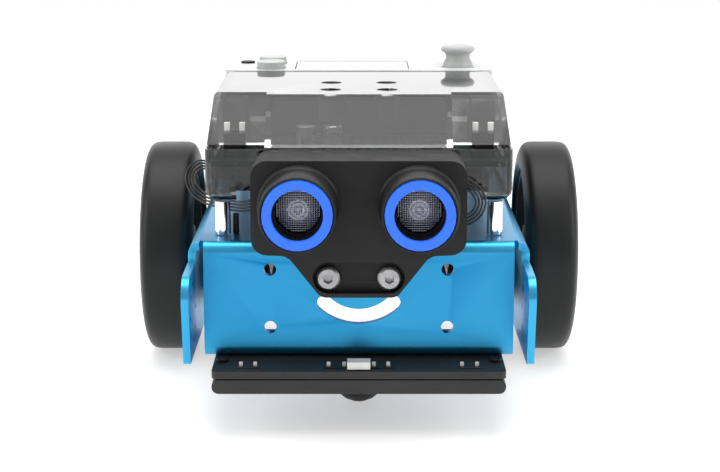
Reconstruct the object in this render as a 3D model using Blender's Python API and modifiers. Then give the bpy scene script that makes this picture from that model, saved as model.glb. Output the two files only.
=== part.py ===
"""Two-wheeled educational robot, built as separate sub-parts. Metres, +Z up, the robot faces -Y.

Every place is given in the robot frame: x across, y backwards from the front plate's outer face, z up from the floor.
An empty carries that frame, so that the whole robot's box is centred on the world's origin.
"""

from math import acos, asin, atan2, cos, pi, radians, sin, tan

import bmesh
import bpy
from mathutils import Matrix, Vector

CLEARANCE = 0.0003  # the gap between pieces that touch
FRONT_PLATE_Y = -0.04175  # where the front plate's outer face stands in the world

# Sheet-metal chassis
SHEET = 0.002
BEND = 0.003
TOP_Z = 0.0504
SIDE_BOTTOM_Z = 0.0218
FRONT_BOTTOM_Z = 0.0186
SIDE_X = 0.046
FRONT_X = 0.042
CHEEK_Y = -0.022
CHEEK_TOP_Z = 0.0452
REAR_Y = 0.114
HOLE_X = 0.024
HOLE_R = 0.0017
UPPER_HOLE_Z = 0.0430
LOWER_HOLE_Z = 0.0270
SMILE_Z = 0.0434
SMILE_R = 0.0134
SMILE_HALF_WIDTH = 0.00205
SMILE_HALF_ANGLE = radians(44)

# Wheels and drive
AXLE_Y = 0.0807
AXLE_Z = 0.0325
TYRE_X = 0.0579
TYRE_HALF_WIDTH = 0.008
TYRE_R = 0.0325
RIM_R = 0.024
SHAFT_R = 0.0022

# Caster
CASTER_Y = 0.0205
BALL_R = 0.008

# Distance sensor
SENSOR_FRONT_Y = -0.0175
SENSOR_SPLIT_Y = -0.005
EYE_X = 0.0155
EYE_Z = 0.0637
EYE_FRONT_Y = -0.0302
EYE_STEPS = 30
SCREW_X = 0.008
SCREW_Z = 0.0443
SCREW_HEAD_R = 0.0032
SLOT_Z = 0.04475
SLOT_DEPTH = 0.0032

# Line sensor
LINE_X = 0.0392
LINE_FRONT_Y = -0.0136
LINE_BACK_Y = 0.0102
LINE_TOP_Z = 0.0183
LINE_SEAM_Z = 0.0162
LINE_BOTTOM_Z = 0.0121

# Shield: the clear case with the battery and the driver board
BASE_X = 0.0419
BASE_FRONT_Y = 0.0075
BASE_BACK_Y = 0.1075
BASE_BOTTOM_Z = 0.0602
BASE_TOP_Z = 0.0744
BASE_WALL = 0.0018
COVER_BOTTOM_Z = 0.0747
COVER_TOP_Z = 0.0878
COVER_WALL = 0.0016
COVER_BACK_Y = 0.0757
BOARD_Z = 0.0694
STANDOFF_X = 0.0373
STANDOFF_R = 0.0022
STANDOFF_YS = {"front": 0.011, "rear": 0.104}
PIN_HOLES = [(x, y) for x in (-0.008, 0.008) for y in (0.0315, 0.0475)]

# Controller
PAD_X = 0.0413
PAD_FRONT_Y = 0.076
PAD_BACK_Y = 0.1073
PAD_BOTTOM_Z = 0.0747
PAD_SPLIT_Z = 0.081
PAD_TOP_Z = 0.088
HOME_X = -0.0352
HOME_Y = 0.0972
STICK_X = 0.031
STICK_Y = 0.091
STICK_PIVOT_Z = 0.0838

MATERIALS = {
    "blue_metal": ((0.015, 0.28, 0.62), 0.28, 0.85),
    "chrome": ((0.75, 0.75, 0.77), 0.12, 1.0),
    "steel": ((0.55, 0.55, 0.56), 0.3, 1.0),
    "black_plastic": ((0.02, 0.02, 0.02), 0.5, 0.0),
    "grey_plastic": ((0.055, 0.055, 0.055), 0.55, 0.0),
    "light_plastic": ((0.42, 0.43, 0.42), 0.45, 0.0),
    "white_plastic": ((0.75, 0.75, 0.72), 0.45, 0.0),
    "smoky_plastic": ((0.09, 0.09, 0.088), 0.08, 0.0),
    "rubber": ((0.02, 0.021, 0.02), 0.7, 0.0),
    "blue_light": ((0.03, 0.2, 1.0), 0.3, 0.0),
    "glass": ((0.01, 0.01, 0.012), 0.05, 0.0),
    "circuit_board": ((0.02, 0.05, 0.04), 0.5, 0.0),
}


def clear_scene():
    for item in list(bpy.data.objects):
        bpy.data.objects.remove(item)


def collection(name):
    made = bpy.data.collections.new(name)
    bpy.context.scene.collection.children.link(made)
    return made


def material(name):
    found = bpy.data.materials.get(name)
    if found:
        return found
    colour, roughness, metallic = MATERIALS[name]
    made = bpy.data.materials.new(name)
    made.use_nodes = True
    shader = made.node_tree.nodes["Principled BSDF"]
    shader.inputs["Base Color"].default_value = (*colour, 1.0)
    shader.inputs["Roughness"].default_value = roughness
    shader.inputs["Metallic"].default_value = metallic
    return made


clear_scene()
ROBOT = collection("two_wheeled_robot")
CUTTERS = collection("cutters")
FRAME = bpy.data.objects.new("robot_frame", None)
FRAME.location = (0, FRONT_PLATE_Y, 0)
ROBOT.objects.link(FRAME)

# Turns that carry a shape's own axes (sideways, up, through) onto the robot's.
ACROSS = Matrix(((1, 0, 0), (0, 0, -1), (0, 1, 0)))  # drawn in x and z, runs along -y
SIDEWAYS = Matrix(((0, 0, 1), (1, 0, 0), (0, 1, 0)))  # drawn in y and z, runs along x
LEVEL = Matrix.Identity(3)  # drawn in x and y, runs along z


def place(name, mesh, finish, origin=(0, 0, 0), turn=LEVEL):
    """Adds a mesh to the robot, or to the cutters where no finish is given."""
    item = bpy.data.objects.new(name, mesh)
    (ROBOT if finish else CUTTERS).objects.link(item)
    item.parent = FRAME
    item.matrix_local = Matrix.Translation(origin) @ turn.to_4x4()
    if finish:
        mesh.materials.append(material(finish))
    else:
        item.hide_render = True
        item.display_type = "WIRE"
    return item


def mesh_of(bm, name):
    mesh = bpy.data.meshes.new(name)
    bm.to_mesh(mesh)
    bm.free()
    return mesh


def block(name, low, high, finish=None, radius=0.0, along="z", steps=4):
    """A box between two corners, with the edges that run along one axis (or "all") rounded."""
    size = Vector(high) - Vector(low)
    centre = (Vector(high) + Vector(low)) / 2
    bm = bmesh.new()
    bmesh.ops.create_cube(bm, size=1.0)
    bmesh.ops.scale(bm, vec=size, verts=bm.verts)
    if radius:
        axis = "xyz".find(along)
        edges = [
            e for e in bm.edges
            if along == "all" or abs((e.verts[0].co - e.verts[1].co)[axis]) > size[axis] / 2
        ]
        bmesh.ops.bevel(bm, geom=edges, offset=radius, segments=steps, profile=0.5, affect="EDGES")
    return place(name, mesh_of(bm, name), finish, centre)


def rod(name, radius, length, centre, turn=LEVEL, finish=None, sides=24):
    bm = bmesh.new()
    bmesh.ops.create_cone(
        bm, cap_ends=True, segments=sides, radius1=radius, radius2=radius, depth=length
    )
    return place(name, mesh_of(bm, name), finish, centre, turn)


def rods(name, radius, length, centres, turn=LEVEL, sides=16):
    """One cutter that holds a rod at each of the centres."""
    bm = bmesh.new()
    for centre in centres:
        spot = Matrix.Translation(centre) @ turn.to_4x4()
        bmesh.ops.create_cone(
            bm, cap_ends=True, segments=sides, radius1=radius, radius2=radius, depth=length,
            matrix=spot,
        )
    return place(name, mesh_of(bm, name), None)


def turned(name, profile, finish, origin, turn=LEVEL, steps=32, closed=False):
    """A turned shape: a profile of (radius, height) points that runs down its outer side."""
    bm = bmesh.new()
    points = [bm.verts.new((r, 0, h)) for r, h in profile]
    pairs = list(zip(points, points[1:]))
    if closed:
        pairs.append((points[-1], points[0]))
    for pair in pairs:
        bm.edges.new(pair)
    item = place(name, mesh_of(bm, name), finish, origin, turn)
    spin = item.modifiers.new("turn", "SCREW")
    spin.axis = "Z"
    spin.steps = steps
    spin.render_steps = steps
    spin.use_merge_vertices = True
    spin.merge_threshold = 0.00001
    spin.use_smooth_shade = True
    return item


def plate(name, outline, thickness, centre, turn, finish=None):
    """A flat outline of (sideways, up) points with a thickness, made from a filled 2D curve."""
    drawing = bpy.data.curves.new(name, "CURVE")
    drawing.dimensions = "2D"
    drawing.fill_mode = "BOTH"
    drawing.extrude = thickness / 2
    spline = drawing.splines.new("POLY")
    spline.points.add(len(outline) - 1)
    for point, (across, up) in zip(spline.points, outline):
        point.co = (across, up, 0, 1)
    spline.use_cyclic_u = True
    sketch = bpy.data.objects.new(name + "_sketch", drawing)
    CUTTERS.objects.link(sketch)
    seen = sketch.evaluated_get(bpy.context.evaluated_depsgraph_get())
    mesh = bpy.data.meshes.new_from_object(seen)
    bpy.data.objects.remove(sketch)
    bpy.data.curves.remove(drawing)
    bm = bmesh.new()
    bm.from_mesh(mesh)
    bmesh.ops.remove_doubles(bm, verts=bm.verts, dist=0.000001)
    bmesh.ops.dissolve_limit(bm, angle_limit=radians(0.5), verts=bm.verts, edges=bm.edges)
    bm.to_mesh(mesh)
    bm.free()
    return place(name, mesh, finish, centre, turn)


def arc(centre, radius, start, end, steps=6):
    """Points along an arc, with its angles in degrees."""
    turns = [radians(start + (end - start) * i / steps) for i in range(steps + 1)]
    return [(centre[0] + radius * cos(a), centre[1] + radius * sin(a)) for a in turns]


def rounded(corners, steps=5):
    """An outline from (across, up, radius) corners, each one rounded by an arc."""
    outline = []
    for i, (x, y, radius) in enumerate(corners):
        here = Vector((x, y))
        before = (Vector(corners[i - 1][:2]) - here).normalized()
        after = (Vector(corners[(i + 1) % len(corners)][:2]) - here).normalized()
        half = acos(max(-1.0, min(1.0, before.dot(after)))) / 2
        middle = here + (before + after).normalized() * (radius / sin(half))
        start = here + before * (radius / tan(half)) - middle
        end = here + after * (radius / tan(half)) - middle
        first = atan2(start.y, start.x)
        sweep = (atan2(end.y, end.x) - first + pi) % (2 * pi) - pi
        for k in range(steps + 1):
            a = first + sweep * k / steps
            outline.append((middle.x + radius * cos(a), middle.y + radius * sin(a)))
    return outline


def join(target, other, how="DIFFERENCE"):
    """Cuts a shape out of the target, adds it, or keeps only what both hold."""
    step = target.modifiers.new(other.name, "BOOLEAN")
    step.operation = how
    step.solver = "EXACT"
    step.object = other


def ease(item, width, steps=2):
    """Rounds the sharp edges of a piece."""
    bevel = item.modifiers.new("ease", "BEVEL")
    bevel.width = width
    bevel.segments = steps
    bevel.limit_method = "ANGLE"
    bevel.angle_limit = radians(50)


# ---------------------------------------------------------------- chassis


def chassis_section():
    """The top plate with both side plates, seen from the front."""
    inner_x = SIDE_X - SHEET
    corner_x = SIDE_X - BEND
    corner_z = TOP_Z - BEND
    outer = arc((corner_x, corner_z), BEND, 0, 90) + arc((-corner_x, corner_z), BEND, 90, 180)
    inner = arc((-corner_x, corner_z), BEND - SHEET, 180, 90, 3)
    inner += arc((corner_x, corner_z), BEND - SHEET, 90, 0, 3)
    ends_left = [(-SIDE_X, SIDE_BOTTOM_Z), (-inner_x, SIDE_BOTTOM_Z)]
    ends_right = [(inner_x, SIDE_BOTTOM_Z), (SIDE_X, SIDE_BOTTOM_Z)]
    return outer + ends_left + inner + ends_right


def side_outline():
    """What the side plates keep, seen from the side: cheeks at the front, a rounded rear corner."""
    above, below = TOP_Z + 0.01, SIDE_BOTTOM_Z - 0.002
    cheek_r, rear_r = 0.006, 0.008
    cheek = arc((CHEEK_Y + cheek_r, CHEEK_TOP_Z - cheek_r), cheek_r, 90, 180)
    rear = arc((REAR_Y - rear_r, SIDE_BOTTOM_Z + rear_r), rear_r, 270, 360)
    toe = [(CHEEK_Y + 0.0035, SIDE_BOTTOM_Z + 0.0007), (CHEEK_Y + 0.0045, below)]
    heel = [(REAR_Y - rear_r, below)]
    return [(0, above), (0, CHEEK_TOP_Z)] + cheek + toe + heel + rear + [(REAR_Y, above)]


def front_section():
    """The front plate with its upper bend and the bottom flange, seen from the side."""
    top_end, flange_end = 0.008, 0.022
    outer = arc((BEND, TOP_Z - BEND), BEND, 90, 180) + arc((BEND, FRONT_BOTTOM_Z + BEND), BEND, 180, 270)
    inner = arc((BEND, FRONT_BOTTOM_Z + BEND), BEND - SHEET, 270, 180, 3)
    inner += arc((BEND, TOP_Z - BEND), BEND - SHEET, 180, 90, 3)
    flange = [(flange_end, FRONT_BOTTOM_Z), (flange_end, FRONT_BOTTOM_Z + SHEET)]
    top = [(top_end, TOP_Z - SHEET), (top_end, TOP_Z)]
    return outer + flange + inner + top


def smile():
    """The curved slot in the front plate, with round ends."""
    centre = (0, SMILE_Z)
    half = SMILE_HALF_ANGLE * 180 / pi
    outer = arc(centre, SMILE_R + SMILE_HALF_WIDTH, 270 - half, 270 + half, 14)
    inner = arc(centre, SMILE_R - SMILE_HALF_WIDTH, 270 + half, 270 - half, 14)
    ends = []
    for side in (1, -1):
        turn = 270 + side * half
        spot = arc(centre, SMILE_R, turn, turn, 1)[0]
        first = turn if side > 0 else turn + 180
        ends.append(arc(spot, SMILE_HALF_WIDTH, first, first + 180, 6)[1:-1])
    return outer + ends[0] + inner + ends[1]


def chassis_frame():
    length = REAR_Y - CHEEK_Y
    middle = (0, (REAR_Y + CHEEK_Y) / 2, 0)
    frame = plate("chassis_frame", chassis_section(), length, middle, ACROSS, "blue_metal")
    join(frame, plate("side_keep", side_outline(), 0.12, (0, 0, 0), SIDEWAYS), "INTERSECT")
    inside = SIDE_X - BEND
    join(frame, block("mouth_cut", (-inside, -0.03, 0.01), (inside, BEND, 0.06)))
    join(frame, plate("front_add", front_section(), 2 * FRONT_X, (0, 0, 0), SIDEWAYS), "UNION")
    join(frame, plate("smile_cut", smile(), 0.01, (0, 0, 0), ACROSS))
    heights = (UPPER_HOLE_Z, LOWER_HOLE_Z)
    open_holes = [(side * HOLE_X, 0, z) for side in (-1, 1) for z in heights]
    join(frame, rods("front_holes", HOLE_R, 0.01, open_holes, ACROSS))
    screws = [(side * SCREW_X, 0, SCREW_Z) for side in (-1, 1)]
    join(frame, rods("sensor_holes", 0.0019, 0.01, screws, ACROSS))
    ring_centre, ring_r = (-0.0095, 0.0335), 0.0075
    ring = [(0, *spot) for spot in arc(ring_centre, ring_r, 0, 315, 7)]
    join(frame, rods("cheek_holes", 0.0009, 0.12, ring, SIDEWAYS, sides=8))
    join(frame, rods("axle_holes", 0.007, 0.12, [(0, AXLE_Y, AXLE_Z)], SIDEWAYS, sides=20))
    rear = [(x, 0.1108, 0.05) for x in (-0.032, -0.016, 0.016, 0.032)]
    join(frame, rods("rear_holes", 0.0017, 0.01, rear, sides=12))


def standoffs():
    bottom = TOP_Z + CLEARANCE
    top = BASE_BOTTOM_Z - CLEARANCE
    for row, y in STANDOFF_YS.items():
        for side, sign in (("left", -1), ("right", 1)):
            centre = (sign * STANDOFF_X, y, (bottom + top) / 2)
            rod(f"standoff_{row}_{side}", STANDOFF_R, top - bottom, centre, LEVEL, "chrome", 16)


# ---------------------------------------------------------------- distance sensor


def sensor_outline():
    """The sensor's face: a wide upper part over a narrower foot."""
    right = [(0.028, 0.0756, 0.0042), (0.028, 0.0509, 0.0042), (0.0186, 0.0506, 0.004)]
    right.append((0.0099, 0.0395, 0.003))
    left = [(-x, z, r) for x, z, r in reversed(right)]
    return rounded(right + left)


def sensor_housing():
    depth = SENSOR_SPLIT_Y - SENSOR_FRONT_Y
    middle = (0, (SENSOR_SPLIT_Y + SENSOR_FRONT_Y) / 2, 0)
    case = plate("sensor_front_housing", sensor_outline(), depth, middle, ACROSS, "black_plastic")
    reach = SENSOR_FRONT_Y - EYE_FRONT_Y
    barrel = [(0, reach), (0.0097, reach), (0.0099, reach - 0.0003), (0.0100, 0.0018)]
    barrel += [(0.0104, 0.0011), (0.0109, 0.0008), (0.0109, -0.001), (0, -0.001)]
    cavity = block("sensor_cavity", (-0.0262, -0.0157, 0.0525), (0.0262, -0.004, 0.0738))
    slot_end = 0.0042
    slot_x = 0.012 - slot_end
    slot = arc((slot_x, SLOT_Z), slot_end, -90, 90, 10) + arc((-slot_x, SLOT_Z), slot_end, 90, 270, 10)
    for side in (-1, 1):
        spot = (side * EYE_X, SENSOR_FRONT_Y, EYE_Z)
        join(case, turned(f"barrel_{side}", barrel, None, spot, ACROSS, EYE_STEPS), "UNION")
    join(case, cavity)
    ring_seat = reach - 0.0016
    mouth_r, room_r, lip = 0.0067, 0.0083, 0.006
    bore = [(0, 0.015), (0.0093, 0.015), (0.0093, ring_seat), (mouth_r, ring_seat), (mouth_r, lip)]
    bore += [(room_r, lip), (room_r, -0.0025), (0, -0.0025)]
    for side in (-1, 1):
        spot = (side * EYE_X, SENSOR_FRONT_Y, EYE_Z)
        join(case, turned(f"bore_{side}", bore, None, spot, ACROSS, EYE_STEPS))
    join(case, plate("slot_cut", slot, 2 * SLOT_DEPTH, (0, SENSOR_FRONT_Y, 0), ACROSS))
    screws = [(side * SCREW_X, -0.01, SCREW_Z) for side in (-1, 1)]
    join(case, rods("housing_holes", 0.0018, 0.014, screws, ACROSS))


def sensor_cover():
    back = -CLEARANCE
    front = SENSOR_SPLIT_Y + CLEARANCE
    middle = (0, (front + back) / 2, 0)
    cover = plate("sensor_rear_cover", sensor_outline(), back - front, middle, ACROSS, "black_plastic")
    screws = [(side * SCREW_X, -0.0025, SCREW_Z) for side in (-1, 1)]
    join(cover, rods("cover_holes", 0.0018, 0.008, screws, ACROSS))


def sensor_inside():
    block("sensor_circuit_board", (-0.025, -0.0076, 0.053), (0.025, -0.006, 0.0733), "circuit_board")
    can = [(0, 0.0139), (0.0056, 0.0138), (0.0058, 0.0135), (0.0062, 0.0152), (0.0077, 0.0152)]
    can += [(0.008, 0.0149), (0.008, 0), (0, 0)]
    ring = [(0.0066, 0.0016), (0.009, 0.0016), (0.009, 0), (0.0066, 0)]
    for side, sign in (("left", -1), ("right", 1)):
        rear = (sign * EYE_X, -0.0079, EYE_Z)
        turned(f"sensor_transducer_{side}", can, "steel", rear, ACROSS, 20)
        seat = (sign * EYE_X, -0.0289, EYE_Z)
        turned(f"sensor_light_ring_{side}", ring, "blue_light", seat, ACROSS, EYE_STEPS, closed=True)


def sensor_screws():
    """Socket-head screws that hold the distance sensor on the front plate."""
    head, shank = 0.0022, 0.0185
    seat_y = SENSOR_FRONT_Y + SLOT_DEPTH - CLEARANCE
    shape = [(0, head), (SCREW_HEAD_R - 0.0006, head), (SCREW_HEAD_R, head - 0.0006), (SCREW_HEAD_R, 0)]
    shape += [(0.0015, 0), (0.0015, -shank), (0, -shank)]
    for side, sign in (("left", -1), ("right", 1)):
        seat = (sign * SCREW_X, seat_y, SCREW_Z)
        screw = turned(f"sensor_screw_{side}", shape, "chrome", seat, ACROSS, 16)
        socket = (sign * SCREW_X, seat_y - head, SCREW_Z)
        join(screw, rod(f"socket_{side}", 0.0013, 0.003, socket, ACROSS, sides=6))


# ---------------------------------------------------------------- line sensor and caster


def line_sensor():
    top_low = LINE_SEAM_Z + 0.0001
    low_high = LINE_SEAM_Z - 0.0002
    upper = block(
        "line_sensor_upper_case", (-LINE_X, LINE_FRONT_Y, top_low), (LINE_X, LINE_BACK_Y, LINE_TOP_Z),
        "grey_plastic", 0.0015,
    )
    screw_x, screw_y = 0.0369, -0.003
    spots = [(sign * screw_x, screw_y, 0.0173) for sign in (-1, 1)]
    join(upper, rods("line_holes", 0.0011, 0.004, spots))
    lower = block(
        "line_sensor_lower_case", (-LINE_X, LINE_FRONT_Y, LINE_BOTTOM_Z), (LINE_X, LINE_BACK_Y, low_high),
        "grey_plastic", 0.0018, "y",
    )
    hollow = block("line_hollow", (-0.0365, -0.012, 0.0137), (0.0365, 0.0086, 0.02))
    join(lower, hollow)
    block("line_sensor_board", (-0.036, -0.0115, 0.014), (0.036, 0.008, 0.0155), "circuit_board")
    seat_z = LINE_TOP_Z + CLEARANCE
    block("line_sensor_socket", (-0.0031, -0.0126, seat_z), (0.0031, -0.0084, 0.0206), "white_plastic", 0.0003)
    shape = [(0, 0.0009), (0.0013, 0.0009), (0.0017, 0.0005), (0.0017, 0), (0.0008, 0)]
    shape += [(0.0008, -0.002), (0, -0.002)]
    for side, sign in (("left", -1), ("right", 1)):
        seat = (sign * screw_x, screw_y, seat_z)
        turned(f"line_sensor_screw_{side}", shape, "steel", seat, LEVEL, 16)


def caster():
    """A ball in a cup: the cup's lip reaches below the ball's middle and holds it."""
    top = FRONT_BOTTOM_Z - CLEARANCE
    cup_r = BALL_R + CLEARANCE
    lip_z = 0.0056
    lip_angle = asin((lip_z - BALL_R) / cup_r) * 180 / pi
    inside = arc((0, BALL_R), cup_r, lip_angle, 90, 7)
    inside[-1] = (0, BALL_R + cup_r)
    shape = [(0, top), (0.0098, top), (0.0098, 0.009), (0.0092, lip_z)] + inside
    turned("caster_housing", shape, "black_plastic", (0, CASTER_Y, 0), LEVEL, 20)
    bm = bmesh.new()
    bmesh.ops.create_uvsphere(bm, u_segments=18, v_segments=11, radius=BALL_R)
    place("caster_ball", mesh_of(bm, "caster_ball"), "steel", (0, CASTER_Y, BALL_R))


# ---------------------------------------------------------------- shield


def shield_base():
    """The lower case: a tray with two hollow feet at the front and a closed deck at the back."""
    low = (-BASE_X, BASE_FRONT_Y, BASE_BOTTOM_Z)
    high = (BASE_X, BASE_BACK_Y, BASE_TOP_Z)
    size = Vector(high) - Vector(low)
    bm = bmesh.new()
    bmesh.ops.create_cube(bm, size=1.0)
    bmesh.ops.scale(bm, vec=size, verts=bm.verts)
    edges = [e for e in bm.edges if min(v.co.z for v in e.verts) < 0]
    bmesh.ops.bevel(bm, geom=edges, offset=0.003, segments=3, profile=0.5, affect="EDGES")
    centre = (Vector(high) + Vector(low)) / 2
    base = place("shield_lower_case", mesh_of(bm, "shield_lower_case"), "smoky_plastic", centre)
    inner_x = BASE_X - BASE_WALL
    front, back = BASE_FRONT_Y + BASE_WALL, BASE_BACK_Y - BASE_WALL
    floor = BASE_BOTTOM_Z + BASE_WALL
    deck = BASE_TOP_Z - 0.0016
    notch_x, notch_y, notch_z = 0.0334, 0.024, 0.0658
    step_y = notch_y + BASE_WALL
    join(base, block("notch", (-notch_x, 0, 0.05), (notch_x, notch_y, notch_z)))
    join(base, block("base_room", (-inner_x, step_y, floor), (inner_x, back, deck)))
    join(base, block("front_room", (-inner_x, front, notch_z + BASE_WALL), (inner_x, 0.03, deck)))
    join(base, block("base_mouth", (-inner_x, front, deck - 0.002), (inner_x, 0.0742, 0.08)))
    foot_x = notch_x + BASE_WALL
    for side in (-1, 1):
        xs = sorted((side * foot_x, side * inner_x))
        join(base, block(f"foot_{side}", (xs[0], front, floor), (xs[1], 0.03, 0.07)))
    join(base, block("left_port_hole", (-0.044, 0.0268, 0.0625), (-0.04, 0.0362, 0.0689)))
    join(base, block("front_port_hole", (0.0067, 0.023, 0.0621), (0.0173, 0.027, 0.0655)))
    join(base, block("charge_hole", (-0.0248, 0.1, 0.0626), (-0.0152, 0.11, 0.0662)))
    join(base, block("switch_hole", (0.0127, 0.1, 0.0628), (0.0233, 0.11, 0.066)))


def cover_shape(name, wall, bottom, finish=None):
    """The cover's outer shape, or its hollow when a wall is given: both slope at the front."""
    top = COVER_TOP_Z - wall
    back = COVER_BACK_Y - wall
    slant = wall * 1.25
    middle_foot, middle_brow = 0.0093 + slant, 0.0212 + slant
    wing_foot, wing_brow = 0.0145 + slant, 0.026 + slant
    low_x, top_x, middle_x = 0.0417 - wall, 0.0403 - wall, 0.0256 - wall
    wings = [(wing_foot, bottom), (wing_brow, top), (back, top), (back, bottom)]
    middle = [(middle_foot, bottom), (middle_brow, top), (back, top), (back, bottom)]
    round_r = 0.0012
    ends = [(-low_x, bottom, 0.0001), (-top_x, top, round_r), (top_x, top, round_r)]
    ends.append((low_x, bottom, 0.0001))
    body = plate(name, wings, 0.1, (0, 0, 0), SIDEWAYS, finish)
    join(body, plate(name + "_middle", middle, 2 * middle_x, (0, 0, 0), SIDEWAYS), "UNION")
    keep = plate(name + "_ends", rounded(ends, 3), 0.2, (0, 0.04, 0), ACROSS)
    join(body, keep, "INTERSECT")
    return body


def shield_cover():
    cover = cover_shape("shield_upper_case", 0.0, COVER_BOTTOM_Z, "smoky_plastic")
    join(cover, cover_shape("cover_room", COVER_WALL, COVER_BOTTOM_Z - 0.001))
    boss_low, boss_high = 0.079, 0.087
    for i, (x, y) in enumerate(PIN_HOLES):
        centre = (x, y, (boss_low + boss_high) / 2)
        join(cover, rod(f"boss_{i}", 0.0036, boss_high - boss_low, centre, sides=14), "UNION")
    join(cover, rods("pin_holes", 0.0024, 0.02, [(x, y, 0.085) for x, y in PIN_HOLES], sides=14))
    rims = [(x, y, 0.0889) for x, y in PIN_HOLES]
    join(cover, rods("pin_rims", 0.003, 0.004, rims, sides=14))


def shield_inside():
    board_top = BOARD_Z + 0.0016
    block("shield_circuit_board", (-0.0396, 0.0105, BOARD_Z), (0.0396, 0.104, board_top), "circuit_board")
    seat = board_top + CLEARANCE
    block("battery_pack", (-0.026, 0.053, seat), (0.026, 0.0735, 0.0816), "grey_plastic", 0.0015, "x")
    for side, sign, name in (("left", -1, "motor_socket"), ("right", 1, "servo_socket")):
        xs = sorted((sign * 0.0386, sign * 0.0316))
        block(name, (xs[0], 0.033, seat), (xs[1], 0.048, 0.0842), "grey_plastic", 0.0005, "y")
    capacitor = [(0, 0.0057), (0.0025, 0.0057), (0.00295, 0.0053), (0.00295, 0), (0, 0)]
    for side, x in (("left", -0.0149), ("right", -0.0075)):
        turned(f"capacitor_{side}", capacitor, "steel", (x, 0.035, seat), LEVEL, 20)
    block("sensor_socket_left", (-0.0417, 0.0271, 0.0628), (-0.035, 0.0359, 0.0686), "white_plastic")
    block("sensor_socket_front", (0.007, 0.0243, 0.0624), (0.017, 0.031, 0.0652), "white_plastic")
    port = block("charging_port", (-0.0245, 0.1, 0.0629), (-0.0155, 0.1072, 0.0659), "steel", 0.0012, "y")
    join(port, block("port_mouth", (-0.0238, 0.1015, 0.0635), (-0.0162, 0.11, 0.0653), None, 0.0007, "y"))
    block("power_switch_slider", (0.013, 0.1035, 0.0632), (0.018, 0.1085, 0.0656), "black_plastic")


# ---------------------------------------------------------------- controller


def controller_cases():
    wall = 0.0016
    inner_x = PAD_X - wall
    front, back = PAD_FRONT_Y + wall, PAD_BACK_Y - wall
    corner, inner_corner = 0.005, 0.0034
    lower = block(
        "controller_lower_case", (-PAD_X, PAD_FRONT_Y, PAD_BOTTOM_Z), (PAD_X, PAD_BACK_Y, PAD_SPLIT_Z),
        "light_plastic", corner,
    )
    room_low = (-inner_x, front, PAD_BOTTOM_Z + wall)
    join(lower, block("pad_room", room_low, (inner_x, back, 0.085), None, inner_corner))
    upper = block(
        "controller_upper_case", (-PAD_X, PAD_FRONT_Y, PAD_SPLIT_Z + CLEARANCE), (PAD_X, PAD_BACK_Y, PAD_TOP_Z),
        "light_plastic", corner,
    )
    top_room = block("top_room", (-inner_x, front, 0.078), (inner_x, back, PAD_TOP_Z - wall), None, inner_corner)
    join(upper, top_room)
    over, under = PAD_TOP_Z + 0.002, PAD_TOP_Z - 0.004
    join(upper, block("screen_window", (-0.0198, 0.0795, under), (0.0155, 0.1025, over), None, 0.001))
    join(upper, block("strip_window", (-0.0193, 0.1034, under), (0.0153, 0.1054, over), None, 0.0008))
    join(upper, block("button_a_hole", (-0.0318, 0.0783, under), (-0.0227, 0.0893, over), None, 0.0043))
    join(upper, block("button_b_hole", (-0.0318, 0.0917, under), (-0.0227, 0.1027, over), None, 0.0043))
    join(upper, rod("home_hole", 0.0025, 0.01, (HOME_X, HOME_Y, PAD_TOP_Z), sides=14))
    join(upper, rod("stick_hole", 0.006, 0.01, (STICK_X, STICK_Y, PAD_TOP_Z), sides=24))
    dish = [(0, 0.003), (0.0118, 0.003), (0.0088, 0), (0.006, -0.0009), (0, -0.0009)]
    join(upper, turned("stick_dish", dish, None, (STICK_X, STICK_Y, PAD_TOP_Z), LEVEL, 24))


def controller_inside():
    board_low, board_high = 0.078, 0.0796
    block("controller_board", (-0.0393, 0.0782, board_low), (0.0393, 0.1051, board_high), "circuit_board", 0.002)
    block("controller_screen", (-0.0195, 0.0798, 0.0845), (0.0152, 0.1022, 0.0879), "glass", 0.0008)
    block("controller_light_strip", (-0.019, 0.1037, 0.0855), (0.015, 0.1051, 0.0881), "white_plastic", 0.0005)
    for name, low_y in (("button_a", 0.0786), ("button_b", 0.092)):
        block(name, (-0.0315, low_y, 0.084), (-0.023, low_y + 0.0104, 0.0901), "light_plastic", 0.004)
    rod("home_button", 0.0022, 0.0046, (HOME_X, HOME_Y, 0.0863), LEVEL, "black_plastic", 14)


def joystick():
    """A thumb stick: a gimbal ring that tilts, a stem that tilts in it, and a cap."""
    pivot = (STICK_X, STICK_Y, STICK_PIVOT_Z)
    ring = [(0.0034, 0.0008), (0.0046, 0.0008), (0.0046, -0.0008), (0.0034, -0.0008)]
    turned("joystick_gimbal", ring, "steel", pivot, LEVEL, 20, closed=True)
    stem = [(0, 0.0062), (0.0014, 0.0062), (0.0014, 0.0024)]
    stem += arc((0, 0), 0.0028, 58, -60, 6) + [(0, -0.0024)]
    turned("joystick_stem", stem, "steel", pivot, LEVEL, 12)
    cap = [(0, 0.0104), (0.004, 0.0104), (0.005, 0.0101), (0.0054, 0.0094), (0.0052, 0.0086)]
    cap += [(0.0045, 0.0082), (0.0039, 0.0078), (0.0038, 0.0064), (0.0044, 0.0052), (0.0047, 0.0042)]
    cap += [(0.0047, 0.003), (0.0017, 0.003), (0.0017, 0.0072)]
    cap.append((0, 0.0072))
    turned("joystick_cap", cap, "light_plastic", pivot, LEVEL, 20)


# ---------------------------------------------------------------- drive


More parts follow.
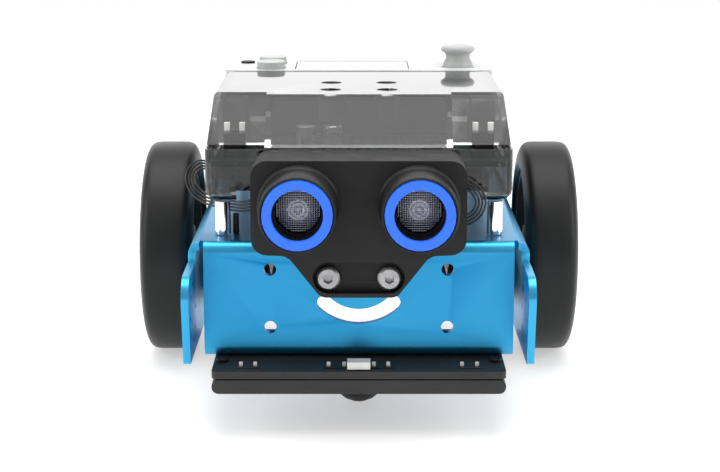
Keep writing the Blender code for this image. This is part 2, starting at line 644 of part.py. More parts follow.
def drive_unit(side, sign):
    """A gearbox against the side plate, with the motor in front of it."""
    def box(name, inner, outer, lows, highs, finish=None, **rounding):
        xs = sorted((sign * inner, sign * outer))
        return block(name, (xs[0], *lows), (xs[1], *highs), finish, **rounding)

    case = box(
        f"gearbox_case_{side}", 0.026, 0.0437, (0.066, 0.0215), (0.098, 0.0435), "grey_plastic",
        radius=0.002, along="x",
    )
    join(case, box(f"gearbox_room_{side}", 0.02, 0.0421, (0.0676, 0.0231), (0.0964, 0.0419)))
    outer_wall = (sign * 0.043, AXLE_Y, AXLE_Z)
    join(case, rod(f"case_bore_{side}", SHAFT_R + 0.0004, 0.006, outer_wall, SIDEWAYS, sides=12))
    box(
        f"gearbox_cover_{side}", 0.0238, 0.0257, (0.066, 0.0215), (0.098, 0.0435), "grey_plastic",
        radius=0.002, along="x",
    )
    motor = rod(f"motor_can_{side}", 0.0088, 0.0275, (sign * 0.0345, 0.0517, AXLE_Z), ACROSS, "steel", 24)
    ease(motor, 0.0008, 1)


def wheel(side, sign):
    outwards = SIDEWAYS if sign > 0 else SIDEWAYS @ Matrix.Rotation(pi, 3, "Y")
    hub_centre = (sign * TYRE_X, AXLE_Y, AXLE_Z)
    shaft_in, shaft_out = 0.028, 0.063
    middle = (sign * (shaft_in + shaft_out) / 2, AXLE_Y, AXLE_Z)
    rod(f"output_shaft_{side}", SHAFT_R, shaft_out - shaft_in, middle, SIDEWAYS, "steel", 12)
    bore = SHAFT_R + CLEARANCE
    rim_half = 0.0066
    hub = [(RIM_R, rim_half), (RIM_R, -rim_half), (RIM_R - 0.002, -rim_half), (RIM_R - 0.002, 0.0008)]
    hub += [(0.007, 0.0012), (0.0062, -0.0062), (bore, -0.0062), (bore, 0.0055), (0.0062, 0.0055)]
    hub += [(0.0072, 0.0034), (RIM_R - 0.0028, 0.003), (RIM_R - 0.002, rim_half)]
    item = turned(f"wheel_hub_{side}", hub, "grey_plastic", hub_centre, outwards, 32, closed=True)
    ring = [(sign * TYRE_X, y, z) for y, z in arc((AXLE_Y, AXLE_Z), 0.0145, 30, 330, 5)]
    join(item, rods(f"hub_holes_{side}", 0.0044, 0.04, ring, SIDEWAYS, sides=12))
    turned(f"tyre_{side}", tyre_profile(), "rubber", hub_centre, outwards, 40, closed=True)


def tyre_profile():
    """A crowned, treadless section: full at the middle and falling away to the sidewalls."""
    inner = RIM_R + CLEARANCE
    steps = 10
    shape = []
    for i in range(steps + 1):
        across = cos(pi * i / steps)
        rise = max(0.0, 1 - abs(across) ** 7) ** 0.55
        shape.append((inner + 0.0012 + (TYRE_R - inner - 0.0012) * rise, TYRE_HALF_WIDTH * across))
    rim_half = 0.0072
    return shape + [(inner, -rim_half), (inner, rim_half)]


# ---------------------------------------------------------------- leads


def smooth_route(points, count):
    """Points spaced evenly along a smooth curve through the route's own points."""
    fine = []
    ends = [points[0]] + points + [points[-1]]
    for a, b, c, d in zip(ends, ends[1:], ends[2:], ends[3:]):
        a, b, c, d = (Vector(p) for p in (a, b, c, d))
        for k in range(20):
            t = k / 20
            fine.append(
                0.5 * (2 * b + (c - a) * t + (2 * a - 5 * b + 4 * c - d) * t**2 + (3 * b - a - 3 * c + d) * t**3)
            )
    fine.append(Vector(points[-1]))
    lengths = [0.0]
    for p, q in zip(fine, fine[1:]):
        lengths.append(lengths[-1] + (q - p).length)
    route = []
    for i in range(count):
        at = lengths[-1] * i / (count - 1)
        k = max(j for j, run in enumerate(lengths[:-1]) if run <= at + 1e-12)
        share = (at - lengths[k]) / (lengths[k + 1] - lengths[k])
        route.append(fine[k].lerp(fine[k + 1], share))
    return route


LEAD_R = 0.0016
LEFT_LEAD = [
    (-0.0426, 0.0315, 0.0660), (-0.0452, 0.0312, 0.0664), (-0.0476, 0.0300, 0.0640),
    (-0.0470, 0.0285, 0.0605), (-0.0440, 0.0270, 0.0578), (-0.0395, 0.0235, 0.0570),
    (-0.0345, 0.0180, 0.0570), (-0.0305, 0.0120, 0.0582), (-0.0275, 0.0070, 0.0602),
    (-0.0256, 0.0036, 0.0618), (-0.0252, 0.0009, 0.0621),
]
RIGHT_LEAD = [
    (0.0200, 0.0009, 0.0660), (0.0216, 0.0034, 0.0664), (0.0265, 0.0044, 0.0664),
    (0.0312, 0.0044, 0.0643), (0.0330, 0.0045, 0.0605), (0.0312, 0.0046, 0.0568),
    (0.0268, 0.0058, 0.0550), (0.0215, 0.0100, 0.0552), (0.0165, 0.0160, 0.0572),
    (0.0125, 0.0198, 0.0622), (0.0120, 0.0233, 0.0636),
]


def lead(name, route):
    line = bpy.data.curves.new(name, "CURVE")
    line.dimensions = "3D"
    line.bevel_depth = LEAD_R
    line.bevel_resolution = 2
    line.use_fill_caps = True
    spline = line.splines.new("POLY")
    points = smooth_route(route, 18)
    spline.points.add(len(points) - 1)
    for point, spot in zip(spline.points, points):
        point.co = (*spot, 1)
    item = bpy.data.objects.new(name, line)
    ROBOT.objects.link(item)
    item.parent = FRAME
    line.materials.append(material("black_plastic"))


def build():
    chassis_frame()
    standoffs()
    sensor_housing()
    sensor_cover()
    sensor_inside()
    sensor_screws()
    line_sensor()
    caster()
    shield_base()
    shield_cover()
    shield_inside()
    controller_cases()
    controller_inside()
    joystick()
    for side, sign in (("left", -1), ("right", 1)):
        drive_unit(side, sign)
        wheel(side, sign)
    lead("sensor_lead_left", LEFT_LEAD)
    lead("sensor_lead_right", RIGHT_LEAD)


build()
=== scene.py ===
"""The looks of the two-wheeled robot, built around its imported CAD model. Metres, +Z up, the robot faces -Y."""

from math import cos, pi, radians, tau

import bmesh
import bpy
from mathutils import Matrix, Vector


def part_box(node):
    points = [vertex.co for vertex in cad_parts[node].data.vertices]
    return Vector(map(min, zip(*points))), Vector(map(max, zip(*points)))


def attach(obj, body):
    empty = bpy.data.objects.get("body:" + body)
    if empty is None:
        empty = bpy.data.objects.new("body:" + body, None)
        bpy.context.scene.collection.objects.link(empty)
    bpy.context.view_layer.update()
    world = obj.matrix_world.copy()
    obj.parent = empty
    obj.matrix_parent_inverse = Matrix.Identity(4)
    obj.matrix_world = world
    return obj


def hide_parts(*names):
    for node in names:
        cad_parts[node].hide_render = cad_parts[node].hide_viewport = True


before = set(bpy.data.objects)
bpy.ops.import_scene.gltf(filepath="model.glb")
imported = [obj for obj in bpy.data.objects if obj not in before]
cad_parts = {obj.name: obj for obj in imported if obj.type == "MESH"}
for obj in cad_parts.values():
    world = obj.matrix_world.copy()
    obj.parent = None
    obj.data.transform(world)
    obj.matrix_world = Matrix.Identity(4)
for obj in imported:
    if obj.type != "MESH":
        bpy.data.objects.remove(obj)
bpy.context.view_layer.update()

BODY = "robot"
CLEARANCE = 0.0003  # the CAD's gap between pieces that touch
FACE_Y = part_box("sensor_rear_cover")[1].y + CLEARANCE  # the front plate's outer face
MM = 0.001

# Driving sizes in millimetres, shared with the CAD
TYRE_R = 32.5
TYRE_HALF_WIDTH = 8.0
TYRE_INNER_R = 24.3
EYE_X = 15.5
EYE_Z = 63.7
DECK_Z = 50.4
BOARD_TOP_Z = 71.05
LINE_TOP_Z = 18.32

# Leads
STRANDS = 4
STRAND_R = 0.00031
STRAND_PITCH = 0.00088
ROUTE_POINTS = 40

# Grilles in the sensor's eyes, in millimetres
GRILLE_R = 5.7
GRILLE_PITCH = 0.6
GRILLE_WIRE_R = 0.1
GRILLE_BULGE = 0.75
GRILLE_WEAVE = 0.06
GRILLE_Y = -22.0
DISH_Y = -21.85

# Turns that carry a shape's own axes onto the robot's.
LEVEL = Matrix.Identity(3)  # a turned shape's axis points up
FORWARD = Matrix(((1, 0, 0), (0, 0, -1), (0, 1, 0)))  # its axis points forward
SIDEWAYS = Matrix(((0, 0, 1), (1, 0, 0), (0, 1, 0)))  # its axis points to +x


def spot(x, y, z):
    """A point from millimetres across, back from the front plate and up from the floor."""
    return Vector((x * MM, y * MM + FACE_Y, z * MM))


# ---------------------------------------------------------------- camera, light and floor


def camera():
    """A long lens from the front, a little above the robot."""
    data = bpy.data.cameras.new("camera")
    data.lens = 90
    data.sensor_width = 36
    data.clip_start = 0.01
    item = bpy.data.objects.new("camera", data)
    item.location = (0.00032, -0.51499, 0.15205)
    item.rotation_euler = (radians(78.094), 0, 0)
    bpy.context.scene.collection.objects.link(item)
    bpy.context.scene.camera = item


def area_light(name, place, aim, size, power):
    data = bpy.data.lights.new(name, "AREA")
    data.shape = "RECTANGLE"
    data.size, data.size_y = size
    data.energy = power
    item = bpy.data.objects.new(name, data)
    item.location = place
    direction = Vector(aim) - Vector(place)
    item.rotation_euler = direction.to_track_quat("-Z", "Y").to_euler()
    bpy.context.scene.collection.objects.link(item)


def studio():
    """Soft white surroundings, one light above, a wide one behind and a tall one at each side."""
    scene = bpy.context.scene
    scene.view_settings.view_transform = "Standard"
    world = bpy.data.worlds.new("studio")
    scene.world = world
    world.use_nodes = True
    tree = world.node_tree
    background = tree.nodes["Background"]
    coords = add(tree, "ShaderNodeTexCoord")
    height = add(tree, "ShaderNodeSeparateXYZ", Vector=coords.outputs["Generated"])
    ramp = add(tree, "ShaderNodeValToRGB", Fac=height.outputs["Z"])
    stops = ramp.color_ramp.elements
    stops[0].position, stops[0].color = 0.0, (0.66, 0.66, 0.67, 1)
    stops[1].position, stops[1].color = 0.75, (1.0, 1.0, 1.0, 1)
    tree.links.new(ramp.outputs["Color"], background.inputs["Color"])
    background.inputs["Strength"].default_value = 0.75
    area_light("top", place=(0, 0.05, 0.9), aim=(0, 0, 0), size=(0.9, 0.7), power=6)
    area_light("back", place=(0, 1.3, 0.46), aim=(0, 0, 0.2), size=(2.4, 0.7), power=6)
    for side, sign in (("left", -1), ("right", 1)):
        area_light(side, place=(sign * 0.75, -0.25, 0.4), aim=(0, 0, 0.04), size=(0.25, 0.6), power=2.5)



def floor():
    bm = bmesh.new()
    bmesh.ops.create_grid(bm, x_segments=8, y_segments=8, size=6)
    item = mesh_object("floor", bm, plain_floor())
    item.location.z = -0.0002


# ---------------------------------------------------------------- node materials


def add(tree, kind, settings=None, **inputs):
    """A node with its settings, and its inputs given as numbers or linked from other nodes."""
    node = tree.nodes.new(kind)
    for key, value in (settings or {}).items():
        setattr(node, key, value)
    for key, value in inputs.items():
        socket = node.inputs[key.replace("_", " ")]
        if isinstance(value, bpy.types.NodeSocket):
            tree.links.new(value, socket)
        else:
            socket.default_value = value
    return node


def noise(tree, coords, scale, detail=4.0, stretch=(1, 1, 1), distortion=0.0):
    """A noise value between 0 and 1 in the piece's own space, stretched along its axes."""
    moved = add(tree, "ShaderNodeMapping", Vector=coords, Scale=stretch)
    made = add(
        tree, "ShaderNodeTexNoise", Vector=moved.outputs["Vector"], Scale=scale, Detail=detail,
        Distortion=distortion,
    )
    return made.outputs["Fac"]


def spread(tree, value, low, high, start=0.3, end=0.7):
    """Carries a value's range from start to end over to low to high."""
    made = add(
        tree, "ShaderNodeMapRange", Value=value, From_Min=start, From_Max=end, To_Min=low, To_Max=high
    )
    return made.outputs["Result"]


def mixed(tree, factor, first, second, mode="MIX"):
    """Two colours, each a tuple or a socket, mixed by a factor."""
    made = add(tree, "ShaderNodeMix", {"data_type": "RGBA", "blend_type": mode})
    for index, value in ((0, factor), (6, first), (7, second)):
        socket = made.inputs[index]
        if isinstance(value, bpy.types.NodeSocket):
            tree.links.new(value, socket)
        else:
            socket.default_value = value if index == 0 else (*value[:3], 1)
    return made.outputs[2]


def bumped(tree, shader, height, depth):
    made = add(tree, "ShaderNodeBump", Height=height, Distance=depth, Strength=1.0)
    tree.links.new(made.outputs["Normal"], shader.inputs["Normal"])


def begin(name):
    """A new material, with its tree, its shader and the piece's own coordinates."""
    made = bpy.data.materials.new(name)
    made.use_nodes = True
    tree = made.node_tree
    coords = add(tree, "ShaderNodeTexCoord").outputs["Object"]
    return made, tree, tree.nodes["Principled BSDF"], coords


def painted_edge_light_and_shade(tree, colour, bright, low=0.53, high=0.6):
    """The colour, with another colour laid along sharp edges: a painted highlight where that colour is brighter,
    painted shade where it is darker.
    """
    edge = add(tree, "ShaderNodeNewGeometry").outputs["Pointiness"]
    return mixed(tree, spread(tree, edge, 0, 0.7, low, high), colour, bright)


def moulded(name, colour, rough, grain=2600, depth=0.00002, edge=1.5, specular=0.5):
    """Moulded plastic: fine grain, slight mottling, a painted highlight along its edges and uneven gloss."""
    made, tree, shader, coords = begin(name)
    blotch = noise(tree, coords, 55, 3)
    deep = tuple(c * 0.86 for c in colour)
    pale = tuple(min(1, c * 1.1) for c in colour)
    tone = mixed(tree, spread(tree, blotch, 0, 1), deep, pale)
    # Painted highlight: the colour brightened by the edge factor, laid along sharp edges.
    bright = tuple(min(1, c * edge) for c in colour)
    tree.links.new(painted_edge_light_and_shade(tree, tone, bright), shader.inputs["Base Color"])
    fine = noise(tree, coords, grain, 2)
    smear = noise(tree, coords, 150, 5, (1, 1, 3))
    tree.links.new(spread(tree, smear, rough * 0.88, rough * 1.15), shader.inputs["Roughness"])
    shader.inputs["Specular IOR Level"].default_value = specular
    bumped(tree, shader, fine, depth)
    return made


def metal(name, colour, rough, stretch=(1, 1, 1)):
    """Bare or plated metal with fine drawn lines, faint stains and a painted highlight along its edges."""
    made, tree, shader, coords = begin(name)
    stain = noise(tree, coords, 90, 5)
    dull = tuple(c * 0.8 for c in colour)
    tone = mixed(tree, spread(tree, stain, 0, 1), dull, colour)
    # Painted highlight: a brighter copy of the colour, laid along sharp edges.
    bright = tuple(min(1, c * 1.25) for c in colour)
    tree.links.new(painted_edge_light_and_shade(tree, tone, bright), shader.inputs["Base Color"])
    shader.inputs["Metallic"].default_value = 1.0
    lines = noise(tree, coords, 900, 3, stretch)
    tree.links.new(spread(tree, lines, rough * 0.75, rough * 1.35), shader.inputs["Roughness"])
    bumped(tree, shader, lines, 0.000006)
    return made


def anodised():
    """Blue anodised sheet: bead-blasted grain, a trace of rolling lines, a painted highlight along its edges."""
    made, tree, shader, coords = begin("anodised_blue")
    broad = noise(tree, coords, 30, 3)
    rolled = noise(tree, coords, 400, 3, (0.15, 1, 1))
    tone = mixed(tree, spread(tree, broad, 0, 1), (0.003, 0.150, 0.385), (0.004, 0.165, 0.42))
    tone = mixed(tree, spread(tree, rolled, 0, 0.25), tone, (0.007, 0.195, 0.47))
    # The pale cyan along sharp edges is a painted highlight.
    tree.links.new(painted_edge_light_and_shade(tree, tone, (0.10, 0.62, 0.9), 0.515, 0.58), shader.inputs["Base Color"])
    shader.inputs["Metallic"].default_value = 0.98
    shader.inputs["Coat Weight"].default_value = 0.02
    shader.inputs["Coat Roughness"].default_value = 0.18
    grain = noise(tree, coords, 4200, 2)
    tree.links.new(spread(tree, grain, 0.3, 0.42), shader.inputs["Roughness"])
    bumped(tree, shader, grain, 0.000012)
    return made


def slick_rubber():
    """Black rubber: mould lines round the tyre, dust in the grain, an uneven sheen."""
    made, tree, shader, coords = begin("slick_rubber")
    dust = noise(tree, coords, 60, 5)
    tone = mixed(tree, spread(tree, dust, 0, 1), (0.004, 0.0044, 0.004), (0.0075, 0.008, 0.0074))
    tree.links.new(tone, shader.inputs["Base Color"])
    fine = noise(tree, coords, 2200, 3)
    ring = noise(tree, coords, 700, 2, (1, 0.06, 0.06))
    tree.links.new(spread(tree, dust, 0.38, 0.48), shader.inputs["Roughness"])
    shader.inputs["Specular IOR Level"].default_value = 0.3
    shader.inputs["Sheen Weight"].default_value = 0.04
    shader.inputs["Sheen Roughness"].default_value = 0.5
    both = add(tree, "ShaderNodeMath", {"operation": "ADD"})
    tree.links.new(fine, both.inputs[0])
    tree.links.new(ring, both.inputs[1])
    bumped(tree, shader, both.outputs["Value"], 0.00002)
    return made


def clear_plastic(name, tint):
    """Polished clear plastic with faint flow marks, handling haze and painted shade along its edges."""
    made, tree, shader, coords = begin(name)
    flow = noise(tree, coords, 45, 3, (1, 1, 0.4))
    pale = tuple(min(1, c * 1.06) for c in tint)
    tone = mixed(tree, spread(tree, flow, 0, 1), tint, pale)
    # The near-black along sharp edges is painted shade.
    tree.links.new(painted_edge_light_and_shade(tree, tone, (0.03, 0.03, 0.03), 0.515, 0.54), shader.inputs["Base Color"])
    haze = noise(tree, coords, 160, 5)
    tree.links.new(spread(tree, haze, 0.018, 0.054), shader.inputs["Roughness"])
    shader.inputs["Transmission Weight"].default_value = 1.0
    shader.inputs["IOR"].default_value = 1.45
    bumped(tree, shader, flow, 0.00003)
    return made


def frosted(name, colour):
    """Milky translucent plastic."""
    made, tree, shader, coords = begin(name)
    cloud = noise(tree, coords, 70, 4)
    deep = tuple(c * 0.93 for c in colour)
    tone = mixed(tree, spread(tree, cloud, 0, 1), deep, colour)
    tree.links.new(tone, shader.inputs["Base Color"])
    tree.links.new(spread(tree, cloud, 0.28, 0.42), shader.inputs["Roughness"])
    shader.inputs["Transmission Weight"].default_value = 0.45
    shader.inputs["IOR"].default_value = 1.45
    bumped(tree, shader, noise(tree, coords, 1800, 2), 0.00001)
    return made


def lit(name, colour, glow, strength):
    """A lit diffuser: brighter blotches where its lamps sit behind it."""
    made, tree, shader, coords = begin(name)
    lamps = noise(tree, coords, 260, 2)
    deep = tuple(c * 0.82 for c in glow)
    tone = mixed(tree, spread(tree, lamps, 0, 1), deep, glow)
    shader.inputs["Base Color"].default_value = (*colour, 1)
    tree.links.new(tone, shader.inputs["Emission Color"])
    shader.inputs["Emission Strength"].default_value = strength
    tree.links.new(spread(tree, lamps, 0.25, 0.4), shader.inputs["Roughness"])
    return made


def circuit():
    """Solder mask over copper tracks, which show as slightly raised paler lanes."""
    made, tree, shader, coords = begin("circuit")
    lanes = add(
        tree, "ShaderNodeTexBrick", {"offset": 0.37, "squash": 0.7}, Vector=coords, Scale=170,
        Mortar_Size=0.06, Mortar_Smooth=0.2,
    )
    cells = add(tree, "ShaderNodeTexVoronoi", {"distance": "CHEBYCHEV"}, Vector=coords, Scale=420)
    tone = mixed(tree, lanes.outputs["Fac"], (0.012, 0.03, 0.024), (0.03, 0.075, 0.055))
    pads = spread(tree, cells.outputs["Distance"], 1, 0, 0.1, 0.14)
    tree.links.new(mixed(tree, pads, tone, (0.55, 0.5, 0.38)), shader.inputs["Base Color"])
    tree.links.new(spread(tree, lanes.outputs["Fac"], 0.45, 0.3, 0, 1), shader.inputs["Roughness"])
    shader.inputs["Coat Weight"].default_value = 0.3
    bumped(tree, shader, lanes.outputs["Fac"], 0.00003)
    return made


def screen_glass():
    """A dark display under glass, with its pixel grid and a few finger smears."""
    made, tree, shader, coords = begin("screen_glass")
    grid = add(
        tree, "ShaderNodeTexBrick", {"offset": 0.0}, Vector=coords, Scale=2600, Mortar_Size=0.05
    )
    tone = mixed(tree, grid.outputs["Fac"], (0.006, 0.007, 0.01), (0.014, 0.015, 0.019))
    tree.links.new(tone, shader.inputs["Base Color"])
    smear = noise(tree, coords, 120, 6, (1, 0.3, 1), 1.5)
    tree.links.new(spread(tree, smear, 0.04, 0.16), shader.inputs["Roughness"])
    shader.inputs["Coat Weight"].default_value = 0.6
    bumped(tree, shader, smear, 0.000005)
    return made


def plain_floor():
    """A pale matt floor with a faint cloud in it, which glows a little so that it stays white."""
    made, tree, shader, coords = begin("pale_floor")
    cloud = noise(tree, coords, 4, 3)
    tree.links.new(mixed(tree, cloud, (0.66, 0.66, 0.66), (0.7, 0.7, 0.7)), shader.inputs["Base Color"])
    shader.inputs["Emission Color"].default_value = (1, 1, 1, 1)
    shader.inputs["Emission Strength"].default_value = 0.46
    shader.inputs["Roughness"].default_value = 0.9
    shader.inputs["Specular IOR Level"].default_value = 0.1
    return made


# ---------------------------------------------------------------- mesh tools


def mesh_object(name, bm, finish):
    bmesh.ops.recalc_face_normals(bm, faces=bm.faces)
    mesh = bpy.data.meshes.new(name)
    bm.to_mesh(mesh)
    bm.free()
    mesh.materials.append(finish)
    item = bpy.data.objects.new(name, mesh)
    bpy.context.scene.collection.objects.link(item)
    return item


def soften(item, width):
    """Rounds the sharp edges and shades the piece smoothly."""
    for face in item.data.polygons:
        face.use_smooth = True
    if width:
        bevel = item.modifiers.new("bevel", "BEVEL")
        bevel.width = width
        bevel.segments = 2
        bevel.limit_method = "ANGLE"
        bevel.angle_limit = radians(35)
    normals = item.modifiers.new("normals", "WEIGHTED_NORMAL")
    normals.weight = 100


def brick(name, low, high, finish):
    """A box between two robot-frame corners in millimetres, with rounded edges."""
    a, b = spot(*low), spot(*high)
    bm = bmesh.new()
    bmesh.ops.create_cube(bm, size=1.0)
    bmesh.ops.scale(bm, vec=b - a, verts=bm.verts)
    bmesh.ops.translate(bm, vec=(a + b) / 2, verts=bm.verts)
    item = mesh_object(name, bm, finish)
    soften(item, 0.15 * MM)
    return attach(item, BODY)


def lathe(name, profile, origin, turn, finish, body=BODY, steps=32, closed=False):
    """A turned piece: (radius, height) points in millimetres about an axis through the origin."""
    bm = bmesh.new()
    points = [bm.verts.new((r * MM, 0, h * MM)) for r, h in profile]
    pairs = list(zip(points, points[1:]))
    if closed:
        pairs.append((points[-1], points[0]))
    edges = [bm.edges.new(pair) for pair in pairs]
    bmesh.ops.spin(
        bm, geom=points + edges, axis=(0, 0, 1), cent=(0, 0, 0), steps=steps, angle=tau,
        use_merge=True,
    )
    bmesh.ops.remove_doubles(bm, verts=bm.verts, dist=1e-7)
    bm.transform(Matrix.Translation(origin) @ turn.to_4x4())
    item = mesh_object(name, bm, finish)
    soften(item, 0)
    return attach(item, body)


def wires(name, runs, radius, finish, roundness):
    """Thin round wires, one along each run of points, as one curve."""
    line = bpy.data.curves.new(name, "CURVE")
    line.dimensions = "3D"
    line.bevel_depth = radius
    line.bevel_resolution = roundness
    line.use_fill_caps = True
    for points in runs:
        spline = line.splines.new("POLY")
        spline.points.add(len(points) - 1)
        for point, place in zip(spline.points, points):
            point.co = (*place, 1)
    line.materials.append(finish)
    item = bpy.data.objects.new(name, line)
    bpy.context.scene.collection.objects.link(item)
    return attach(item, BODY)


# ---------------------------------------------------------------- sensor leads

# The routes that the CAD leads follow, in metres: across, back from the front plate, up.
LEFT_LEAD = [
    (-0.0426, 0.0315, 0.0660), (-0.0452, 0.0312, 0.0664), (-0.0476, 0.0300, 0.0640),
    (-0.0470, 0.0285, 0.0605), (-0.0440, 0.0270, 0.0578), (-0.0395, 0.0235, 0.0570),
    (-0.0345, 0.0180, 0.0570), (-0.0305, 0.0120, 0.0582), (-0.0275, 0.0070, 0.0602),
    (-0.0256, 0.0036, 0.0618), (-0.0252, 0.0009, 0.0621),
]
RIGHT_LEAD = [
    (0.0200, 0.0009, 0.0660), (0.0216, 0.0034, 0.0664), (0.0265, 0.0044, 0.0664),
    (0.0312, 0.0044, 0.0643), (0.0330, 0.0045, 0.0605), (0.0312, 0.0046, 0.0568),
    (0.0268, 0.0058, 0.0550), (0.0215, 0.0100, 0.0552), (0.0165, 0.0160, 0.0572),
    (0.0125, 0.0198, 0.0622), (0.0120, 0.0233, 0.0636),
]


def smooth_route(points, count):
    """Points spaced evenly along a smooth curve through the route's own points."""
    fine = []
    ends = [points[0]] + points + [points[-1]]
    for a, b, c, d in zip(ends, ends[1:], ends[2:], ends[3:]):
        for k in range(20):
            t = k / 20
            curve = (2 * a - 5 * b + 4 * c - d) * t**2
            twist = (3 * b - a - 3 * c + d) * t**3
            fine.append(0.5 * (2 * b + (c - a) * t + curve + twist))
    fine.append(points[-1])
    lengths = [0.0]
    for p, q in zip(fine, fine[1:]):
        lengths.append(lengths[-1] + (q - p).length)
    route = []
    for i in range(count):
        at = lengths[-1] * i / (count - 1)
        k = max(j for j, run in enumerate(lengths[:-1]) if run <= at + 1e-12)
        route.append(fine[k].lerp(fine[k + 1], (at - lengths[k]) / (lengths[k + 1] - lengths[k])))
    return route


def ribbon_sides(route):
    """At each point of a route, the way across the flat ribbon, which faces forward."""
    sides = []
    for i in range(len(route)):
        along = route[min(i + 1, len(route) - 1)] - route[max(i - 1, 0)]
        across = along.normalized().cross(Vector((0, 1, 0)))
        if across.length < 0.25:
            across = Vector((0, 0, 1)) * 0.25 + across
        sides.append(across.normalized())
    smooth = []
    for i in range(len(sides)):
        near = sides[max(i - 4, 0):i + 5]
        smooth.append(sum(near, Vector()).normalized())
    return smooth


def leads(finish):
    """Each sensor lead is a flat ribbon of four fine wires."""
    for side, plan in (("left", LEFT_LEAD), ("right", RIGHT_LEAD)):
        route = smooth_route([Vector((x, y + FACE_Y, z)) for x, y, z in plan], ROUTE_POINTS)
        sides = ribbon_sides(route)
        for i in range(STRANDS):
            shift = (i - (STRANDS - 1) / 2) * STRAND_PITCH
            points = [p + s * shift for p, s in zip(route, sides)]
            strand = wires(f"lead_{side}_{i + 1}", [points], STRAND_R, finish, 4)
            if i == 0:
                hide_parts(f"sensor_lead_{side}")


# ---------------------------------------------------------------- wheels


def tyre_section():
    """A broad flat tread with round shoulders, and a bead on each side where it meets the rim."""
    base = TYRE_INNER_R + 1.2
    steps = 40
    outside = []
    for i in range(steps + 1):
        across = cos(pi * i / steps)
        rise = max(0.0, 1 - abs(across) ** 7) ** 0.55
        outside.append((base + (TYRE_R - base) * rise, TYRE_HALF_WIDTH * across))
    bead = [(TYRE_INNER_R + 0.9, TYRE_HALF_WIDTH - 0.25), (TYRE_INNER_R + 0.2, TYRE_HALF_WIDTH - 0.5)]
    bead.append((TYRE_INNER_R, TYRE_HALF_WIDTH - 1.2))
    return outside + [(r, -h) for r, h in bead] + list(reversed(bead))


def tyres(rubber):
    for side, sign in (("left", -1), ("right", 1)):
        low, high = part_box(f"tyre_{side}")
        turn = SIDEWAYS if sign > 0 else SIDEWAYS @ Matrix.Rotation(pi, 3, "Y")
        tyre = lathe(
            f"slick_tyre_{side}", tyre_section(), (low + high) / 2, turn, rubber,
            f"wheel_{side}", 112, closed=True,
        )
        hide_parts(f"tyre_{side}")


# ---------------------------------------------------------------- distance sensor


def grille_wire(offset, way):
    """One wire as (across, forward, up) points, in millimetres from the grille's centre."""
    half = (GRILLE_R**2 - offset**2) ** 0.5
    weave = GRILLE_WEAVE if way == "across" else -GRILLE_WEAVE
    for k in range(17):
        run = half * (k / 8 - 1)
        x, z = (run, offset) if way == "across" else (offset, run)
        bulge = GRILLE_BULGE * (1 - (x * x + z * z) / GRILLE_R**2)
        yield x, bulge + weave, z


def grilles(finish, bright):
    """Crossed wires bulge forward in each eye's mouth, over the transducer's ribbed cone."""
    count = int(GRILLE_R / GRILLE_PITCH)
    cone = [(0, 0.45), (0.9, 0.4), (1.0, 0.12), (2.0, 0.12), (2.1, 0.4), (2.9, 0.34)]
    cone += [(3.0, 0.01), (0, 0.01)]
    for side, sign in (("left", -1), ("right", 1)):
        runs = []
        for lane in range(-count, count + 1):
            for way in ("across", "up"):
                wire = grille_wire(lane * GRILLE_PITCH, way)
                runs.append([spot(sign * EYE_X + x, GRILLE_Y - y, EYE_Z + z) for x, y, z in wire])
        wires(f"grille_{side}", runs, GRILLE_WIRE_R * MM, finish, 1)
        seat = spot(sign * EYE_X, DISH_Y, EYE_Z)
        lathe(f"dish_{side}", cone, seat, FORWARD, bright, steps=48)


# ---------------------------------------------------------------- small parts on the boards and plates


def line_sensor_pins(pale, dark):
    """Four pairs of solder pins stand through the line sensor's lid, each over a small moulded pad."""
    seat = LINE_TOP_Z
    for i, x in enumerate((-31.6, -27.8, -8.1, -3.9, 4.0, 7.9, 27.7, 31.7)):
        pin = brick(f"line_pin_{i + 1}", (x - 0.5, -8.6, seat), (x + 0.5, -7.6, seat + 1.18), pale)
    for i, x in enumerate((-29.7, -6.0, 5.9, 29.7)):
        pad = brick(f"line_pad_{i + 1}", (x - 3.4, -10.4, seat), (x + 3.4, -9.4, seat + 0.28), dark)


# The chips on the driver board: left, right, near, far and height, in millimetres.
CHIPS = [
    (-27.5, -22.0, 20, 26, 2.2), (-3.2, 2.6, 20, 26, 2.0), (9, 15, 21, 25, 1.5), (18, 24, 30, 36, 1.2),
]


def board_parts(grey, dark, pale):
    """Chips, side sockets and their clips on the driver board, seen through the clear case."""
    for i, (left, right, near, far, tall) in enumerate(CHIPS):
        low, high = (left, near, BOARD_TOP_Z), (right, far, BOARD_TOP_Z + tall)
        brick(f"chip_{i + 1}", low, high, grey)
    socket_x, socket_half = 34.2, 3.0
    socket_top = BOARD_TOP_Z + 6.2
    clip_top = socket_top + 3.2
    for side, sign in (("left", -1), ("right", 1)):
        middle = sign * socket_x
        low = (middle - socket_half, 17, BOARD_TOP_Z)
        high = (middle + socket_half, 24, socket_top)
        brick(f"socket_block_{side}", low, high, dark)
        for part, shift in (("near", -2.1), ("far", 2.1)):
            x = sign * (socket_x + shift)
            clip = brick(f"clip_{part}_{side}", (x - 0.8, 17.6, socket_top), (x + 0.8, 18.8, clip_top), pale)


def stud(finish):
    """A threaded stud on the deck beside the left standoff."""
    crest, root, turns, pitch = 0.95, 0.75, 9, 0.6
    shape = [(0, 5.6), (0.7, 5.6)]
    for i in range(turns):
        shape += [(crest, 5.3 - pitch * i), (root, 5.0 - pitch * i)]
    shape += [(root, 0.02), (0, 0.02)]
    lathe("deck_stud", shape, spot(-33.8, 12.5, DECK_Z), LEVEL, finish)


# ---------------------------------------------------------------- CAD nodes that stay


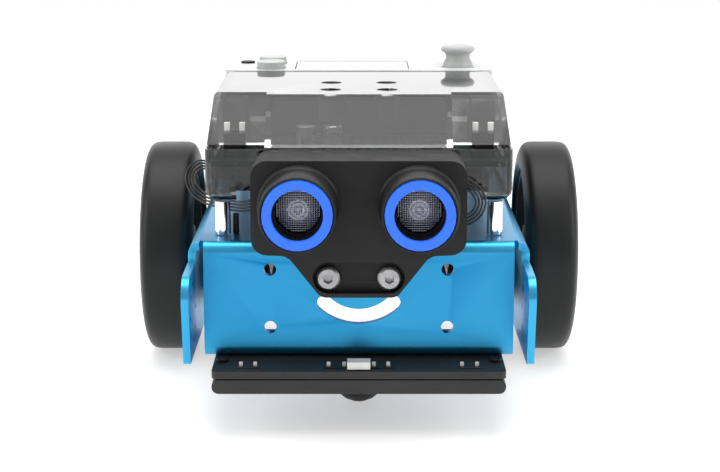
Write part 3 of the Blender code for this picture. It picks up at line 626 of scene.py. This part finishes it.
def dress(finishes):
    """Gives each CAD node that stays in view its finish, with rounded edges and smooth shading."""
    for finish, width, names in finishes:
        for name in names:
            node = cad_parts[name]
            for holder in node.material_slots:
                holder.material = finish
            weld = node.modifiers.new("weld", "WELD")
            weld.merge_threshold = 0.000002
            flat = node.modifiers.new("flat", "DECIMATE")
            flat.decimate_type = "DISSOLVE"
            flat.angle_limit = radians(2)
            soften(node, width * MM)


def both(*stems):
    """The left and right node names of each stem."""
    return [f"{stem}_{side}" for stem in stems for side in ("left", "right")]


def main():
    camera()
    studio()
    floor()

    blue = anodised()
    rubber = slick_rubber()
    chrome = metal("bright_plate", (0.8, 0.8, 0.82), 0.12, (1, 1, 0.1))
    steel = metal("bare_steel", (0.6, 0.6, 0.61), 0.28, (0.2, 1, 1))
    bright = metal("bright_aluminium", (0.8, 0.8, 0.8), 0.3)
    # Steel made this dark partly as painted shade: the motor cans, seen through the chassis holes, stand in for
    # the shade inside the chassis.
    dark_steel_and_painted_shade = metal("dark_steel_and_painted_shade", (0.035, 0.035, 0.037), 0.5)
    satin = metal("satin_zinc", (0.42, 0.42, 0.43), 0.42)
    black = moulded("black_moulding", (0.012, 0.012, 0.0122), 0.5, edge=2.2, specular=0.25)
    grey = moulded("dark_grey_moulding", (0.022, 0.022, 0.0212), 0.5, edge=1.8, specular=0.35)
    lead_black = moulded("lead_sheath", (0.018, 0.018, 0.018), 0.4, 1200)
    white = moulded("white_moulding", (0.72, 0.72, 0.69), 0.4, 1500, 0.00001, 1.05)
    pad_white = frosted("milky_case", (0.86, 0.87, 0.87))
    button_grey = moulded("grey_button", (0.4, 0.41, 0.4), 0.42, 1800, 0.00001, 1.2)
    smoky = clear_plastic("smoky_case", (0.66, 0.67, 0.66))
    board = circuit()
    glow = lit("blue_ring", (0.004, 0.03, 0.2), (0.014, 0.16, 0.95), 0.95)
    strip = lit("light_strip", (0.7, 0.7, 0.7), (0.8, 0.9, 1.0), 0.15)
    display = screen_glass()

    leads(lead_black)
    tyres(rubber)
    grilles(steel, bright)
    line_sensor_pins(white, black)
    board_parts(grey, black, white)
    stud(dark_steel_and_painted_shade)
    dress([
        (blue, 0.25, ["chassis_frame"]),
        (chrome, 0.12, both("standoff_front", "standoff_rear")),
        (satin, 0.15, both("sensor_screw")),
        (steel, 0.1, both("output_shaft", "capacitor")),
        # The motor cans take this dark finish as painted shade inside the chassis.
        (dark_steel_and_painted_shade, 0.1, both("line_sensor_screw", "motor_can", "sensor_transducer")),
        (steel, 0.1, ["charging_port", "joystick_gimbal", "joystick_stem"]),
        (black, 0.35, ["sensor_front_housing", "sensor_rear_cover"]),
        (black, 0.2, ["caster_housing", "power_switch_slider", "home_button", "caster_ball"]),
        (grey, 0.3, ["line_sensor_upper_case", "line_sensor_lower_case"]),
        (grey, 0.3, ["battery_pack", "motor_socket", "servo_socket"] + both("gearbox_case", "gearbox_cover")),
        (grey, 0.3, both("wheel_hub")),
        (white, 0.1, ["sensor_socket_left", "sensor_socket_front", "line_sensor_socket"]),
        (pad_white, 0.3, ["controller_upper_case", "controller_lower_case"]),
        (button_grey, 0.3, ["button_a", "button_b", "joystick_cap"]),
        (smoky, 0.25, ["shield_lower_case", "shield_upper_case"]),
        (board, 0.05, ["shield_circuit_board", "controller_board"]),
        (board, 0.05, ["sensor_circuit_board", "line_sensor_board"]),
        (glow, 0.1, both("sensor_light_ring")),
        (strip, 0.1, ["controller_light_strip"]),
        (display, 0.15, ["controller_screen"]),
    ])


main()
